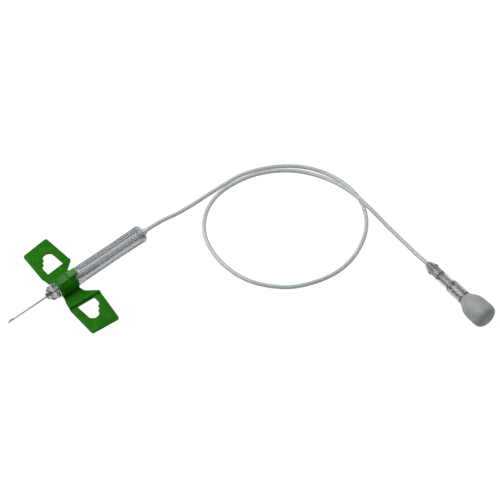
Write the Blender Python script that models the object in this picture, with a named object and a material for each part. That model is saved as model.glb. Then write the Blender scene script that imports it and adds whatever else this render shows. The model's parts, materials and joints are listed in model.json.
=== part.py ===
"""Butterfly needle: a winged infusion set with a sliding needle guard.

Sizes are in millimetres and turned to metres when a mesh is made. A station is a distance
behind the guard's nose, along the needle's axis: the needle's tip has a negative station.
The needle points to -X, the tubing leaves towards +X, the wings spread along Y, and the
set lies on the plane z = 0 with the origin under the middle of the needle and guard.
"""

from math import atan2, cos, pi, radians, sin, tan

import bpy
import bmesh
from mathutils import Matrix, Vector

MM = 0.001

# Clearances
GLUE_GAP = 0.1
SLIDE_GAP = 0.15
SEAT_GAP = 0.3
EDGE_ROUND = 0.15

# Needle: a 21 gauge tube, three quarters of an inch out of the nose
NEEDLE_OD = 0.82
NEEDLE_BORE = 0.51
NEEDLE_EXPOSED_LENGTH = 19.0
NEEDLE_BEVEL_DEG = 15.0
NEEDLE_GRIP_LENGTH = 8.0

# Needle hub, which carries the needle and the tubing inside the guard
HUB_FRONT = 5.2
HUB_REAR = 25.0
HUB_BOSS_R = 1.3
HUB_WAIST_R = 1.5
HUB_STEM_R = 1.35
HUB_FLANGE_WIDTH = 1.2
HUB_FRONT_FLANGE = 6.4
HUB_REAR_FLANGE = 13.2
LATCH_LENGTH = 5.0
LATCH_WIDTH = 1.4
LATCH_THICKNESS = 0.5
LATCH_TOOTH_HEIGHT = 0.35
LATCH_TOOTH_START = 0.4
LATCH_TOOTH_LENGTH = 0.5
LATCH_TOOTH_BACK = 0.4
FINGER_GAP = 0.05

# Tubing
TUBE_OD = 1.7
TUBE_SEAT = 3.5

# Guard: a clear barrel that slides forward over the needle
GUARD_COLLAR_R = 3.7
GUARD_GRIP_R = 3.6
GUARD_REAR_R = 3.8
GUARD_BORE_R = 2.6
GUARD_NECK_R = 3.1
TIP_COVER = 2.0
GUARD_TRAVEL = NEEDLE_EXPOSED_LENGTH + TIP_COVER
COLLAR_WIDTH = 2.6
GRIP_WAIST = 34.0
FLUTES = 8
FLUTE_DEPTH = 0.28
FLUTE_RUNOUT = 0.5
RIM_WIDTH = 0.7
NOSE_FACE_R = 1.0
NOSE_R = 3.0
NOSE_CONE = 2.0
NOSE_LENGTH = 3.4
NOSE_GROOVE = 0.6
NOSE_GROOVE_DEPTH = 0.2
NOSE_RIBS = 6
NOSE_RIB_HEIGHT = 0.25
NEEDLE_HOLE_R = NEEDLE_OD / 2 + SEAT_GAP

# End cap with the nozzle that the tubing runs through
PLUG_LENGTH = 1.2
CAP_FLANGE = 0.5
CAP_FLANGE_R = 3.5
NOZZLE_ROOT_R = 1.55
NOZZLE_TIP_R = 1.35
NOZZLE_LENGTH = 2.0
NOZZLE_BORE_R = TUBE_OD / 2 + 0.2

# Wing clip: a C-shaped saddle round the guard's neck and two wings, moulded in one
CLIP_FRONT = 5.2
CLIP_LENGTH = 8.2
CLIP_R = 4.1
CLIP_LIP_R = 3.95
CLIP_LIP = 2.2
CLIP_CHAMFER = 0.7
CLIP_BORE_R = GUARD_NECK_R + 0.2
CLIP_MOUTH = 5.6
PAD_THICKNESS = 0.9
FLAP_THICKNESS = 0.95
FLAP_TOP = 1.65
CREASE_FRONT_Y = 9.05
CREASE_REAR_Y = 10.25
CREASE_WIDTH = 0.45
CREASE_LIP = 0.15
THUMB_PAD_START = 5.7
THUMB_PAD_LENGTH = 3.9
THUMB_PAD_WIDTH = 3.1
THUMB_PAD_HEIGHT = 0.85
THUMB_PAD_CHAMFER = 0.3
WING_TIP_Y = 25.2
WING_SWEEP = 1.3
WING_FRONT = 4.3
WING_FRONT_RAKE = 0.5
WING_REAR_OUT = 17.2
WING_REAR_IN = 18.8
WING_SHOULDER_Y = 9.8
WING_CORNER_R = 0.9
ROOT_INNER_Y = 3.6
ROOT_FRONT_Y = 6.3
ROOT_REAR_Y = 6.0
ROOT_FRONT_R = 3.0
ROOT_REAR_R = 2.5
WINDOW_FRONT = 7.4
WINDOW_REAR = 15.5
WINDOW_IN_FRONT = 9.95
WINDOW_IN_REAR = 10.55
WINDOW_OUT = 19.0
WINDOW_SLANT_LENGTH = 5.2
WINDOW_SLANT_WIDTH = 3.6
WINDOW_REAR_CUT = 2.6
TOOTH_R = 0.38

# Luer connector and its cap, lying on the table at the far end of the tubing
LUER_ENTRY = (112.9, -86.0)
LUER_YAW_DEG = 3.0
LUER_NOSE_R = 2.3
LUER_NOSE_LENGTH = 8.0
LUER_WAIST_R = 1.5
LUER_FIN_R = 2.3
LUER_WAIST_LENGTH = 6.0
LUER_FINS = 6
LUER_SOCKET_R = 2.75
LUER_SOCKET_LENGTH = 8.3
LUER_BORE_R = 2.15
LUER_BORE_TAPER = 0.03
LUER_BORE_DEPTH = 7.5
LUER_CHANNEL_R = 0.6
LUER_TUBE_SEAT = 4.0
CAP_LENGTH = 13.5
CAP_R = 5.15
CAP_SHOULDER = 5.2
CAP_DOME = 3.9
CAP_PLUG_LENGTH = 6.0
CAP_CORE_R = 1.3
CAP_CORE_DEPTH = 10.0
CAP_CORE_DRAFT = 0.3
CAP_FACET = 1.0

# Stations that follow from the sizes above
CLIP_REAR = CLIP_FRONT + CLIP_LENGTH
NECK_END = CLIP_REAR + SEAT_GAP
CAP_INNER = HUB_REAR + GUARD_TRAVEL + SEAT_GAP
GUARD_END = CAP_INNER + PLUG_LENGTH
NOZZLE_END = GUARD_END + CAP_FLANGE + NOZZLE_LENGTH
CENTRE = (NOZZLE_END - NEEDLE_EXPOSED_LENGTH) / 2
LUER_END = LUER_NOSE_LENGTH + LUER_WAIST_LENGTH + LUER_SOCKET_LENGTH
CAP_START = LUER_END + SEAT_GAP
AXIS_Z = GUARD_REAR_R
TUBE_START = HUB_REAR - TUBE_SEAT

# Route of the tubing on the table, chosen by hand: x, y and height of its middle.
# It leaves the nozzle straight, drops to the table, makes one turn and crosses over itself.
TUBE_Z = TUBE_OD / 2
TUBE_ROUTE = [
    (38.0, 0.0, 3.7), (44.0, 0.0, 2.9), (51.0, -0.2, 1.4), (58.5, -0.4, TUBE_Z),
    (67.5, -0.6, TUBE_Z), (76.0, -0.9, TUBE_Z), (84.0, -1.5, TUBE_Z), (91.6, -4.0, TUBE_Z),
    (98.9, -7.9, TUBE_Z), (105.0, -12.8, TUBE_Z), (110.0, -19.0, TUBE_Z), (113.5, -26.5, TUBE_Z),
    (115.1, -34.8, TUBE_Z), (114.6, -42.8, TUBE_Z), (111.6, -50.0, TUBE_Z),
    (106.7, -56.0, TUBE_Z), (99.6, -60.8, TUBE_Z), (91.0, -63.9, TUBE_Z), (81.6, -64.5, TUBE_Z),
    (72.0, -62.2, TUBE_Z), (63.6, -58.0, TUBE_Z), (57.2, -51.9, TUBE_Z), (52.4, -44.4, TUBE_Z),
    (50.0, -35.8, TUBE_Z), (49.9, -26.8, TUBE_Z), (52.0, -18.0, TUBE_Z), (56.5, -11.0, TUBE_Z),
    (63.0, -5.9, TUBE_Z), (71.0, -3.2, TUBE_Z), (79.8, -3.2, TUBE_Z), (88.6, -5.1, TUBE_Z),
    (96.6, -9.1, TUBE_Z), (103.2, -14.5, TUBE_Z), (108.2, -21.4, 1.05), (111.6, -30.0, 1.9),
    (113.3, -40.0, 2.65), (113.8, -50.0, 2.3), (113.8, -60.0, 1.2), (113.6, -70.0, 0.95),
    (113.2, -79.5, 1.35),
]
TUBE_STEP = 5.0

SIDES = 48
FINE_SIDES = 24


def clear_scene():
    for old in list(bpy.data.objects):
        bpy.data.objects.remove(old, do_unlink=True)


def material(name, colour, roughness, metallic=0.0, alpha=1.0, transmission=0.0):
    mat = bpy.data.materials.new(name)
    mat.use_nodes = True
    shader = mat.node_tree.nodes["Principled BSDF"]
    shader.inputs["Base Color"].default_value = (*colour, 1.0)
    shader.inputs["Roughness"].default_value = roughness
    shader.inputs["Metallic"].default_value = metallic
    shader.inputs["Alpha"].default_value = alpha
    shader.inputs["Transmission Weight"].default_value = transmission
    return mat


def add_object(name, bm, mat=None, sharp_deg=35.0):
    """Turn a bmesh in millimetres into an object in metres, with its faces pointing out."""
    bmesh.ops.recalc_face_normals(bm, faces=bm.faces[:])
    bmesh.ops.scale(bm, vec=(MM, MM, MM), verts=bm.verts[:])
    mesh = bpy.data.meshes.new(name)
    bm.to_mesh(mesh)
    bm.free()
    mesh.shade_smooth()
    mesh.set_sharp_from_angle(angle=radians(sharp_deg))
    obj = bpy.data.objects.new(name, mesh)
    bpy.context.scene.collection.objects.link(obj)
    if mat:
        mesh.materials.append(mat)
    return obj


def combine(obj, tool, operation):
    """Union with, cut by or keep only what lies inside a helper object."""
    tool.hide_render = True
    tool.display_type = "WIRE"
    mod = obj.modifiers.new(operation.lower() + "_" + tool.name, "BOOLEAN")
    mod.operation = operation
    mod.solver = "EXACT"
    mod.object = tool
    tool.hide_set(True)


def turned(profile, sides=SIDES, radius_at=None):
    """Revolve a closed profile of (station, radius) about the X axis.

    A radius of 0 makes a point on the axis. radius_at(index, radius, angle) can give the
    outline another radius round the turn, where angle 0 is at the top.
    """
    bm = bmesh.new()
    rings = []
    for index, (station, radius) in enumerate(profile):
        if radius == 0:
            rings.append([bm.verts.new((station, 0, 0))])
            continue
        ring = []
        for k in range(sides):
            angle = 2 * pi * k / sides
            r = radius_at(index, radius, angle) if radius_at else radius
            ring.append(bm.verts.new((station, r * sin(angle), r * cos(angle))))
        rings.append(ring)
    for a, b in zip(rings, rings[1:] + rings[:1]):
        if len(a) == 1 and len(b) == 1:
            continue
        for k in range(sides):
            n = (k + 1) % sides
            corners = [a[k % len(a)], b[k % len(b)], b[n % len(b)], a[n % len(a)]]
            bm.faces.new(list(dict.fromkeys(corners)))
    return bm


def prism(outline, low, high, axis="Z"):
    """Extrude an outline: (x, y) points along Z, or (y, z) points along X."""
    bm = bmesh.new()
    if axis == "Z":
        verts = [bm.verts.new((x, y, low)) for x, y in outline]
        step = Vector((0, 0, high - low))
    else:
        verts = [bm.verts.new((low, y, z)) for y, z in outline]
        step = Vector((high - low, 0, 0))
    face = bm.faces.new(verts)
    grown = bmesh.ops.extrude_face_region(bm, geom=[face])
    moved = [v for v in grown["geom"] if isinstance(v, bmesh.types.BMVert)]
    bmesh.ops.translate(bm, vec=step, verts=moved)
    return bm


def block(low, high):
    """A box from one corner to the other."""
    (x0, y0, z0), (x1, y1, z1) = low, high
    return prism([(x0, y0), (x1, y0), (x1, y1), (x0, y1)], z0, z1)


def rounded(points, radii, steps=4):
    """Round each corner of a closed outline with an arc of its own radius."""
    result = []
    count = len(points)
    for i, radius in enumerate(radii):
        corner = Vector(points[i])
        before = (Vector(points[i - 1]) - corner).normalized()
        after = (Vector(points[(i + 1) % count]) - corner).normalized()
        if radius == 0:
            result.append(tuple(corner))
            continue
        half = before.angle(after) / 2
        middle = corner + (before + after).normalized() * radius / sin(half)
        start = corner + before * radius / tan(half) - middle
        end = corner + after * radius / tan(half) - middle
        turn = atan2(start.x * end.y - start.y * end.x, start.dot(end))
        for k in range(steps + 1):
            spin = Matrix.Rotation(turn * k / steps, 2)
            result.append(tuple(middle + spin @ start))
    return result


def smooth_curve(points, step):
    """Points about one step apart on a smooth curve through the given ones."""
    knots = [Vector(p) for p in points]
    knots = [2 * knots[0] - knots[1]] + knots + [2 * knots[-1] - knots[-2]]
    result = [knots[1]]
    for a, b, c, d in zip(knots, knots[1:], knots[2:], knots[3:]):
        pieces = max(1, round((c - b).length / step))
        for k in range(1, pieces + 1):
            t = k / pieces
            result.append(0.5 * (2 * b + (c - a) * t + (2 * a - 5 * b + 4 * c - d) * t ** 2
                                 + (3 * b - a - 3 * c + d) * t ** 3))
    return result


def place_on_axis(obj):
    """Put a piece made at its stations on the needle's axis."""
    obj.location = (-CENTRE * MM, 0, AXIS_Z * MM)


def make_cannula(mat):
    rear = HUB_FRONT + NEEDLE_GRIP_LENGTH
    outer, inner = NEEDLE_OD / 2, NEEDLE_BORE / 2
    tip = -NEEDLE_EXPOSED_LENGTH
    bm = turned([(tip, outer), (rear, outer), (rear, inner), (tip, inner)], FINE_SIDES)
    slope = 1 / tan(radians(NEEDLE_BEVEL_DEG))
    for v in bm.verts:
        if v.co.x < 0:
            v.co.x += (v.co.z + outer) * slope
    obj = add_object("cannula", bm, mat)
    place_on_axis(obj)


def make_hub(mat):
    flange_r = GUARD_BORE_R - SLIDE_GAP
    hole = NEEDLE_OD / 2 + GLUE_GAP
    socket = TUBE_OD / 2 + GLUE_GAP
    needle_stop = HUB_FRONT + NEEDLE_GRIP_LENGTH + GLUE_GAP
    channel = NEEDLE_BORE / 2
    tube_stop = TUBE_START - GLUE_GAP
    front_end = HUB_FRONT_FLANGE + HUB_FLANGE_WIDTH
    rear_end = HUB_REAR_FLANGE + HUB_FLANGE_WIDTH
    profile = [
        (HUB_FRONT, hole), (HUB_FRONT, HUB_BOSS_R), (HUB_FRONT_FLANGE, HUB_BOSS_R),
        (HUB_FRONT_FLANGE, flange_r), (front_end, flange_r), (front_end, HUB_WAIST_R),
        (HUB_REAR_FLANGE, HUB_WAIST_R), (HUB_REAR_FLANGE, flange_r), (rear_end, flange_r),
        (rear_end, HUB_STEM_R), (HUB_REAR, HUB_STEM_R), (HUB_REAR, socket),
        (tube_stop, socket), (tube_stop, channel), (needle_stop, channel), (needle_stop, hole),
    ]
    hub = add_object("needle_hub", turned(profile), mat)
    place_on_axis(hub)

    top = flange_r - FINGER_GAP
    base = top - LATCH_TOOTH_HEIGHT - LATCH_THICKNESS
    tip = HUB_REAR_FLANGE - LATCH_LENGTH
    root = HUB_REAR_FLANGE + HUB_FLANGE_WIDTH / 2
    tooth = tip + LATCH_TOOTH_START
    tooth_end = tooth + LATCH_TOOTH_LENGTH
    back = top - LATCH_TOOTH_HEIGHT
    side = [
        (root, base), (root, back), (tooth_end + LATCH_TOOTH_BACK, back), (tooth_end, top), (tooth, top),
        (tip, base),
    ]
    bm = bmesh.new()
    near = [bm.verts.new((x, -LATCH_WIDTH / 2, z)) for x, z in side]
    face = bm.faces.new(near)
    grown = bmesh.ops.extrude_face_region(bm, geom=[face])
    moved = [v for v in grown["geom"] if isinstance(v, bmesh.types.BMVert)]
    bmesh.ops.translate(bm, vec=(0, LATCH_WIDTH, 0), verts=moved)
    latch = add_object("latch_finger", bm)
    place_on_axis(latch)
    combine(hub, latch, "UNION")


def make_guard(mat):
    """The barrel: a ribbed nose, a plain neck for the clip, and a fluted grip."""
    groove_start = NOSE_LENGTH
    groove_end = NOSE_LENGTH + NOSE_GROOVE
    ring_end = CLIP_FRONT - SEAT_GAP
    groove_r = NOSE_R - NOSE_GROOVE_DEPTH
    ring_r = GUARD_NECK_R + 0.2
    edge = EDGE_ROUND
    flute_start = NECK_END + COLLAR_WIDTH
    flute_end = GUARD_END - RIM_WIDTH
    bore_start = CLIP_FRONT - SEAT_GAP
    outer = [
        (0.0, NOSE_FACE_R, "plain"), (edge, NOSE_FACE_R + edge, "plain"),
        (NOSE_CONE - 0.4, NOSE_R - 0.45, "rib"), (NOSE_CONE, NOSE_R - 0.12, "rib"),
        (NOSE_CONE + 0.4, NOSE_R, "rib"), (groove_start - edge, NOSE_R, "rib"),
        (groove_start, NOSE_R, "plain"), (groove_start, groove_r, "plain"), (groove_end, groove_r, "plain"),
        (groove_end, ring_r, "plain"), (ring_end, ring_r, "plain"), (ring_end, GUARD_NECK_R, "plain"),
        (NECK_END, GUARD_NECK_R, "plain"), (NECK_END, GUARD_COLLAR_R - edge, "plain"),
        (NECK_END + edge, GUARD_COLLAR_R, "plain"), (flute_start, GUARD_COLLAR_R, "plain"),
        (flute_start + FLUTE_RUNOUT, GUARD_COLLAR_R, "flute"), (GRIP_WAIST, GUARD_GRIP_R, "flute"),
        (flute_end - FLUTE_RUNOUT, GUARD_REAR_R, "flute"), (flute_end, GUARD_REAR_R, "plain"),
        (GUARD_END - edge, GUARD_REAR_R, "plain"), (GUARD_END, GUARD_REAR_R - edge, "plain"),
    ]
    inner = [
        (GUARD_END, GUARD_BORE_R), (bore_start, GUARD_BORE_R), (bore_start - 1.6, NEEDLE_HOLE_R + 0.2),
        (bore_start - 1.8, NEEDLE_HOLE_R), (0.5, NEEDLE_HOLE_R), (0.0, NEEDLE_HOLE_R + 0.1),
    ]
    kinds = [kind for _, _, kind in outer] + ["plain"] * len(inner)

    def radius_at(index, radius, angle):
        if kinds[index] == "flute":
            return radius - FLUTE_DEPTH * abs(sin(FLUTES * angle / 2))
        if kinds[index] == "rib":
            return radius + NOSE_RIB_HEIGHT * max(0.0, cos(NOSE_RIBS * angle)) ** 2 - NOSE_RIB_HEIGHT / 2
        return radius

    profile = [(station, radius) for station, radius, _ in outer] + inner
    barrel = add_object("guard_barrel", turned(profile, SIDES, radius_at), mat)
    place_on_axis(barrel)


def make_end_cap(mat):
    plug_r = GUARD_BORE_R - GLUE_GAP
    edge = EDGE_ROUND
    seat = GUARD_END + GLUE_GAP
    root = GUARD_END + CAP_FLANGE
    profile = [
        (CAP_INNER, NOZZLE_BORE_R), (CAP_INNER, plug_r - edge), (CAP_INNER + edge, plug_r), (seat, plug_r),
        (seat, CAP_FLANGE_R), (root - edge, CAP_FLANGE_R), (root, CAP_FLANGE_R - edge),
        (root, NOZZLE_ROOT_R + edge), (root + edge, NOZZLE_ROOT_R), (NOZZLE_END - edge, NOZZLE_TIP_R),
        (NOZZLE_END, NOZZLE_TIP_R - edge), (NOZZLE_END, NOZZLE_BORE_R),
    ]
    cap = add_object("barrel_end_cap", turned(profile), mat)
    place_on_axis(cap)


def wing_outline():
    """The outline of clip and wings from above, as (station, y), mirrored about the axis."""
    half = [
        (CLIP_FRONT + WING_FRONT_RAKE, ROOT_INNER_Y), (WING_FRONT + WING_FRONT_RAKE, ROOT_FRONT_Y),
        (WING_FRONT, WING_SHOULDER_Y), (WING_FRONT + WING_FRONT_RAKE, WING_TIP_Y - WING_SWEEP),
        (WING_REAR_OUT, WING_TIP_Y), (WING_REAR_IN, WING_SHOULDER_Y),
        (CLIP_REAR + WING_FRONT_RAKE, ROOT_REAR_Y), (CLIP_REAR, ROOT_INNER_Y),
    ]
    radii = [0, ROOT_FRONT_R, ROOT_FRONT_R, WING_CORNER_R, WING_CORNER_R, WING_CORNER_R, ROOT_REAR_R, 0]
    mirrored = [(x, -y) for x, y in reversed(half)]
    return rounded(half + mirrored, radii + radii[::-1])


def window_outline(side):
    """A wing's window, as (station, y): the other wing's is turned by half a turn."""
    front, rear, outer = WINDOW_FRONT, WINDOW_REAR, WINDOW_OUT
    slant_low = Vector((front, outer - WINDOW_SLANT_LENGTH))
    slant_high = Vector((front + WINDOW_SLANT_WIDTH, outer - 0.3))
    along = (slant_high - slant_low).normalized()
    across = Vector((along.y, -along.x))
    if side > 0:
        inner = [(front, WINDOW_IN_FRONT), (rear, WINDOW_IN_REAR)]
    else:
        inner = [(front, WINDOW_IN_REAR), (rear, WINDOW_IN_FRONT)]
    corners = inner + [(rear - 0.8, outer - 1.2), (rear - WINDOW_REAR_CUT, outer), tuple(slant_high)]
    arcs = rounded(corners + [tuple(slant_low)], [0.6, 0.8, 1.4, 1.2, 1.0, 1.2])
    per_corner = len(arcs) // len(corners + [slant_low])
    outline = arcs[:-per_corner]
    for share in (0.66, 0.3):
        middle = slant_low + (slant_high - slant_low) * share
        for k in range(5):
            angle = pi * k / 4
            outline.append(tuple(middle + (along * cos(angle) + across * sin(angle)) * TOOTH_R))
    outline += arcs[-per_corner:]
    if side > 0:
        return outline
    centre = front + rear
    return [(centre - x, -y) for x, y in outline]


def wing_section(side, crease_y):
    """One wing cut across the needle's axis, as (y, z): flap, crease and pad, 1 or -1 for the side."""
    crease_out = crease_y + CREASE_WIDTH
    far = WING_TIP_Y + 1
    root = CLIP_BORE_R - 0.5
    flap_low = FLAP_TOP - FLAP_THICKNESS
    points = [
        (root, flap_low), (crease_y - CREASE_WIDTH, flap_low), (crease_out - CREASE_WIDTH / 2, 0), (far, 0),
        (far, PAD_THICKNESS), (crease_out, PAD_THICKNESS), (crease_y, FLAP_TOP + CREASE_LIP),
        (crease_y - 2 * CREASE_LIP, FLAP_TOP), (root, FLAP_TOP),
    ]
    return [(side * y, z - AXIS_Z) for y, z in points]


def wing_bar(side):
    """A bar with the wing's section, whose crease runs a little outward towards the rear."""
    bm = prism(wing_section(side, CREASE_FRONT_Y), WING_FRONT - 1, WING_REAR_IN + 1, "X")
    bm.verts.ensure_lookup_table()
    rear = [v for v in bm.verts if v.co.x > WING_REAR_IN]
    near = [v for v in rear if abs(abs(v.co.y) - CREASE_FRONT_Y) < 2 * CREASE_WIDTH]
    bmesh.ops.translate(bm, vec=(0, side * (CREASE_REAR_Y - CREASE_FRONT_Y), 0), verts=near)
    return bm


def make_wing_clip(mat):
    bm = wing_bar(1)
    other = wing_bar(-1)
    scrap = bpy.data.meshes.new("other_wing")
    other.to_mesh(scrap)
    other.free()
    bm.from_mesh(scrap)
    bpy.data.meshes.remove(scrap)
    clip = add_object("wing_clip", bm, mat)
    place_on_axis(clip)

    outline = add_object("wing_outline", prism(wing_outline(), -2 * AXIS_Z, 0))
    place_on_axis(outline)
    combine(clip, outline, "INTERSECT")

    saddle_profile = [
        (CLIP_FRONT, 0), (CLIP_FRONT, CLIP_BORE_R + 0.15), (CLIP_FRONT + CLIP_CHAMFER, CLIP_LIP_R),
        (CLIP_FRONT + CLIP_LIP, CLIP_LIP_R), (CLIP_FRONT + CLIP_LIP + 0.15, CLIP_R),
        (CLIP_REAR - 0.15, CLIP_R), (CLIP_REAR, CLIP_R - 0.15), (CLIP_REAR, 0),
    ]
    saddle = add_object("saddle", turned(saddle_profile))
    place_on_axis(saddle)
    combine(clip, saddle, "UNION")

    start = CLIP_FRONT + THUMB_PAD_START
    half, top, edge = THUMB_PAD_WIDTH / 2, CLIP_R + THUMB_PAD_HEIGHT, THUMB_PAD_CHAMFER
    section = [(-half, CLIP_BORE_R), (half, CLIP_BORE_R), (half, top - edge), (half - edge, top),
               (edge - half, top), (-half, top - edge)]
    pad = add_object("thumb_pad", prism(section, start, start + THUMB_PAD_LENGTH, "X"))
    place_on_axis(pad)
    combine(clip, pad, "UNION")

    collar_hole = GUARD_COLLAR_R + SEAT_GAP
    bore = add_object("clip_bore", turned([(CLIP_FRONT - 1, 0), (CLIP_FRONT - 1, CLIP_BORE_R),
                                           (CLIP_REAR, CLIP_BORE_R), (CLIP_REAR, collar_hole),
                                           (CLIP_REAR + 3, collar_hole), (CLIP_REAR + 3, 0)]))
    place_on_axis(bore)
    combine(clip, bore, "DIFFERENCE")

    mouth_top = -(CLIP_BORE_R ** 2 - (CLIP_MOUTH / 2) ** 2) ** 0.5 + 0.1
    mouth = add_object("clip_mouth", block((CLIP_FRONT - 2, -CLIP_MOUTH / 2, -2 * AXIS_Z),
                                           (CLIP_REAR + 2, CLIP_MOUTH / 2, mouth_top)))
    place_on_axis(mouth)
    combine(clip, mouth, "DIFFERENCE")

    below = add_object("under_table", block((CLIP_FRONT - 2, -CLIP_R - 1, -2 * AXIS_Z),
                                            (CLIP_REAR + 2, CLIP_R + 1, FLAP_TOP - FLAP_THICKNESS - AXIS_Z)))
    place_on_axis(below)
    combine(clip, below, "DIFFERENCE")

    for side, name in ((1, "left_window"), (-1, "right_window")):
        window = add_object(name, prism(window_outline(side), -2 * AXIS_Z, 0))
        place_on_axis(window)
        combine(clip, window, "DIFFERENCE")


def luer_profile():
    """The connector's outside, as (distance from the tubing's entry, radius)."""
    waist_start = LUER_NOSE_LENGTH
    socket_start = LUER_NOSE_LENGTH + LUER_WAIST_LENGTH
    lug_r = LUER_NOSE_R + 0.25
    body_r = LUER_NOSE_R - 0.1
    return [
        (0.0, 1.25), (0.2, 1.4), (1.4, LUER_NOSE_R - 0.35), (2.8, LUER_NOSE_R), (3.4, lug_r), (3.9, lug_r),
        (4.1, body_r), (waist_start - 0.2, body_r), (waist_start, LUER_WAIST_R),
        (waist_start + 0.4, LUER_FIN_R), (socket_start - 0.2, LUER_FIN_R),
        (socket_start, LUER_FIN_R), (socket_start + 0.3, LUER_SOCKET_R - 0.1),
        (socket_start + 0.7, LUER_SOCKET_R), (LUER_END, LUER_SOCKET_R),
    ]


def cap_profile():
    """The cap's outside, as (distance from the tubing's entry, radius): a bulb with a blunt end."""
    shoulder = CAP_START + CAP_SHOULDER
    dome = CAP_START + CAP_LENGTH - CAP_DOME
    knots = [
        (CAP_START, LUER_SOCKET_R), (CAP_START + 0.5, LUER_SOCKET_R + 0.2), (shoulder - 3.4, CAP_R - 1.55),
        (shoulder - 2.0, CAP_R - 0.75), (shoulder, CAP_R - 0.2), (dome - 1.0, CAP_R),
    ]
    sides = [(p.x, p.y) for p in smooth_curve([(x, r, 0.0) for x, r in knots], CAP_FACET)]
    turns = [pi / 2 * k / 7 for k in range(7)]
    end = [(dome + CAP_DOME * sin(t) ** 0.6, CAP_R * cos(t) ** 0.6) for t in turns]
    return sides + end + [(dome + CAP_DOME, 0.0)]


def resting_pitch():
    """The slope at which connector and cap lie on the table, and the height of the entry."""
    nose = max(luer_profile()[:6], key=lambda p: p[1])
    touch = max(cap_profile(), key=lambda p: (p[1] - nose[1]) / (p[0] - nose[0]))
    pitch = atan2(touch[1] - nose[1], touch[0] - nose[0])
    return pitch, nose[1] * cos(pitch) - nose[0] * sin(pitch)


def luer_frame():
    """Place of the tubing's entry: local +X runs along the connector towards its cap."""
    pitch, height = resting_pitch()
    heading = -(90.0 + LUER_YAW_DEG)
    turn = Matrix.Rotation(radians(heading), 4, "Z") @ Matrix.Rotation(-pitch, 4, "Y")
    return Matrix.Translation(Vector((*LUER_ENTRY, height)) * MM) @ turn


def make_luer(connector_mat, cap_mat):
    frame = luer_frame()
    bore_end = LUER_END - LUER_BORE_DEPTH
    seat = TUBE_OD / 2 + GLUE_GAP
    inside = [
        (LUER_END, LUER_BORE_R), (bore_end, LUER_BORE_R - LUER_BORE_TAPER * LUER_BORE_DEPTH),
        (bore_end, LUER_CHANNEL_R), (LUER_TUBE_SEAT, LUER_CHANNEL_R), (LUER_TUBE_SEAT, seat), (0.0, seat),
    ]

    def radius_at(index, radius, angle):
        if radius == LUER_FIN_R and cos(LUER_FINS * angle) < 0.5:
            return LUER_WAIST_R
        return radius

    connector = add_object("luer_connector", turned(luer_profile() + inside, SIDES, radius_at), connector_mat)
    connector.matrix_world = frame

    plug_tip = CAP_START - CAP_PLUG_LENGTH
    core_end = plug_tip + CAP_CORE_DEPTH
    plug_r = LUER_BORE_R - SLIDE_GAP
    tip_r = plug_r - LUER_BORE_TAPER * CAP_PLUG_LENGTH
    inside = [
        (core_end, 0.0), (core_end, CAP_CORE_R - CAP_CORE_DRAFT), (plug_tip, CAP_CORE_R),
        (plug_tip, tip_r - EDGE_ROUND), (plug_tip + EDGE_ROUND, tip_r), (CAP_START, plug_r),
    ]
    cap = add_object("luer_cap", turned(cap_profile() + inside), cap_mat)
    cap.matrix_world = frame


def make_tubing(mat):
    frame = luer_frame()
    end = frame @ Vector(((LUER_TUBE_SEAT - SEAT_GAP) * MM, 0, 0)) / MM
    mouth = frame @ Vector((-1.5 * MM, 0, 0)) / MM
    start = TUBE_START - CENTRE
    leaves = NOZZLE_END - CENTRE - 1
    straight = [(start, 0, AXIS_Z), ((start + leaves) / 2, 0, AXIS_Z), (leaves, 0, AXIS_Z)]
    points = smooth_curve(straight + TUBE_ROUTE + [tuple(mouth), tuple(end)], TUBE_STEP)
    for point in points:
        point.z = max(point.z, TUBE_Z)
    data = bpy.data.curves.new("tubing", "CURVE")
    data.dimensions = "3D"
    data.bevel_depth = TUBE_OD / 2 * MM
    data.bevel_resolution = 2
    data.use_fill_caps = True
    spline = data.splines.new("POLY")
    spline.points.add(len(points) - 1)
    for slot, point in zip(spline.points, points):
        slot.co = (*(point * MM), 1.0)
    tube = bpy.data.objects.new("tubing", data)
    bpy.context.scene.collection.objects.link(tube)
    data.materials.append(mat)


def main():
    clear_scene()
    steel = material("stainless steel", (0.55, 0.56, 0.57), 0.25, metallic=1.0)
    clear = material("clear polycarbonate", (0.86, 0.88, 0.89), 0.08, alpha=0.45, transmission=0.9)
    hub_clear = material("clear acrylic", (0.80, 0.82, 0.83), 0.12, alpha=0.55, transmission=0.8)
    green = material("green moulded vinyl", (0.03, 0.22, 0.02), 0.45)
    tube = material("clear vinyl tubing", (0.72, 0.76, 0.78), 0.2, alpha=0.6, transmission=0.7)
    frosted = material("frosted polyethylene", (0.50, 0.53, 0.53), 0.5)
    make_cannula(steel)
    make_hub(hub_clear)
    make_guard(clear)
    make_end_cap(clear)
    make_wing_clip(green)
    make_tubing(tube)
    make_luer(clear, frosted)


main()
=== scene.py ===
"""Looks of the butterfly needle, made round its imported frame.

Sizes are in millimetres and turned to metres when a mesh is made. A station is a distance
behind the guard's nose, along the needle's axis. Pieces on the connector are measured from
the place where the tubing enters it. The scale of a noise is its number of waves per metre,
so 1000 is a pattern of about 1 mm.
"""

import json
from math import atan2, cos, exp, pi, radians, sin, tan

import bmesh
import bpy
from mathutils import Matrix, Vector


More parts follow.
